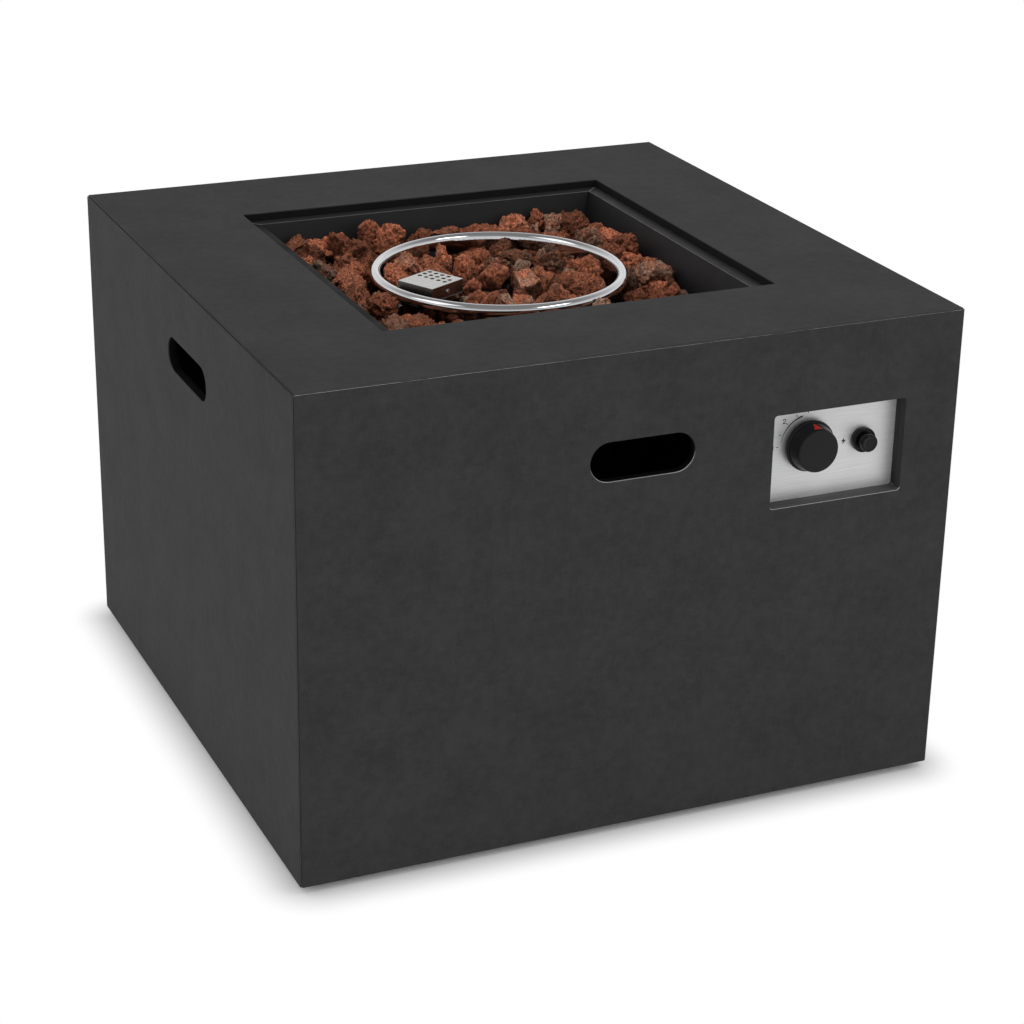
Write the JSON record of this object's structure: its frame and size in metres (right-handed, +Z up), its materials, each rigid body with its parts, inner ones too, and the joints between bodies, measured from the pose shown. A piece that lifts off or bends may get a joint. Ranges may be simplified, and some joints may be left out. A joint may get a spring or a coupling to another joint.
{
  "type": "square gas fire pit table",
  "caption": "Square patio table with a sunk burner pan of lava rock, a rolled guard ring and a push-and-turn gas control with a push-button igniter in its front",
  "frame": {"origin": "on the floor, under the middle of the casing", "axes": "+Z up, front with the control recess towards -Y, +X to the right seen from the front"},
  "size_m": [0.711, 0.719, 0.519],
  "materials": {
    "casing_board": "matt, faintly mottled",
    "coated_steel": "satin powder coat",
    "zinc_steel": "bright zinc",
    "foot_rubber": "matt",
    "polished_steel": "polished",
    "brushed_plate": "brushed along its length",
    "burner_steel": "dull",
    "brass": "dull",
    "mixer_metal": "cast",
    "pipe_metal": "drawn",
    "insulator": "unglazed",
    "sensor_copper": "dull",
    "lead_red": "satin",
    "lead_copper": "satin",
    "spacer_black": "satin powder coat",
    "valve_metal": "cast",
    "steel": "ground",
    "knob_black": "satin",
    "pointer_red": "smooth",
    "igniter_black": "satin",
    "lava_rock": "porous"
  },
  "bodies": {
    "table": {"top_panel": "casing_board", "front_panel": "casing_board", "rear_panel": "casing_board", "left_panel": "casing_board", "right_panel": "casing_board", "corner_angle_front_left": "coated_steel", "corner_angle_front_right": "coated_steel", "corner_angle_rear_right": "coated_steel", "corner_angle_rear_left": "coated_steel", "angle_screws": "zinc_steel", "foot_front_left": "foot_rubber", "foot_front_right": "foot_rubber", "foot_rear_right": "foot_rubber", "foot_rear_left": "foot_rubber", "foot_nuts": "zinc_steel", "pan_support_frame": "coated_steel", "frame_screws": "zinc_steel", "pan_floor": "coated_steel", "pan_wall_front": "coated_steel", "pan_wall_right": "coated_steel", "pan_wall_rear": "coated_steel", "pan_wall_left": "coated_steel", "guard_ring": "polished_steel", "ring_brackets": "zinc_steel", "ring_screws": "zinc_steel", "ring_nuts": "zinc_steel", "gas_burner": "burner_steel", "burner_locknut": "brass", "air_mixer": "mixer_metal", "orifice_elbow": "brass", "gas_pipe": "pipe_metal", "pipe_nuts": "brass", "pilot_bracket": "burner_steel", "pilot_cover": "brushed_plate", "cover_screws": "zinc_steel", "ignition_electrode": "insulator", "electrode_tip": "steel", "flame_sensor": "sensor_copper", "ignition_lead": "lead_red", "sensor_lead": "lead_copper", "spacer_frame": "spacer_black", "control_plate": "brushed_plate", "control_screws": "zinc_steel", "valve_body": "valve_metal", "valve_nut": "brass", "inlet_fitting": "brass", "magnet_unit": "brass", "knob_spring": "steel", "igniter_barrel": "igniter_black", "igniter_collar": "igniter_black", "igniter_spring": "steel", "lava_rocks_around": "lava_rock", "lava_rocks_middle": "lava_rock"},
    "push_rod": {"push_pin": "steel"},
    "knob": {"control_knob": "knob_black", "knob_pointer": "pointer_red", "valve_stem": "steel"},
    "plug": {"valve_plug": "brass"},
    "button": {"igniter_button": "igniter_black"}
  },
  "joints": [
    {"name": "knob_push", "type": "slide", "parent": "table", "child": "push_rod", "axis": [0, 1, 0], "range_m": [0, 0.004], "stiffness_N_per_m": 900, "deforming": ["knob_spring"]},
    {"name": "knob_turn", "type": "hinge", "parent": "push_rod", "child": "knob", "pos_m": [0.1918, -0.3375, 0.3902], "axis": [0, -1, 0], "range_deg": [0, 90]},
    {"name": "plug_turn", "type": "hinge", "parent": "table", "child": "plug", "pos_m": [0.1918, -0.3375, 0.3902], "axis": [0, -1, 0], "range_deg": [0, 90]},
    {"name": "igniter_press", "type": "slide", "parent": "table", "child": "button", "axis": [0, 1, 0], "range_m": [0, 0.006], "stiffness_N_per_m": 800, "deforming": ["igniter_spring"]}
  ],
  "couplings": [
    {"joint": "plug_turn", "follows": "knob_turn", "ratio": 1}
  ]
}
